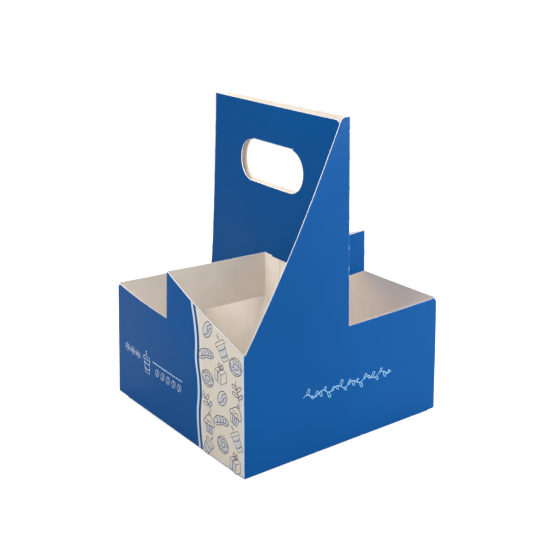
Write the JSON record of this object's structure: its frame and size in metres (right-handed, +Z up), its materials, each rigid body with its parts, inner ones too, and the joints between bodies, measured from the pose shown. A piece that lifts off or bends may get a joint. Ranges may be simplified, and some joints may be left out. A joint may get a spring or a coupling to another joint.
{
  "type": "cardboard cup carrier",
  "caption": "Folded cardboard drink carrier with square cup cells, low rims, slanted wings and shoulders, and a tall double handle panel with a hand slot.",
  "frame": {"origin": "middle of the underside, on the surface that the carrier stands on", "axes": "+Z up, +Y along the handle panels, +X across them from the shoulder with the near divider to the opposite wall"},
  "size_m": [0.18, 0.174, 0.232],
  "materials": {
    "printed_card": "white-lined card, blue print with a light satin varnish outside, uncoated cream board inside"
  },
  "bodies": {
    "root": {"cup_carrier": "printed_card"}
  },
  "joints": []
}
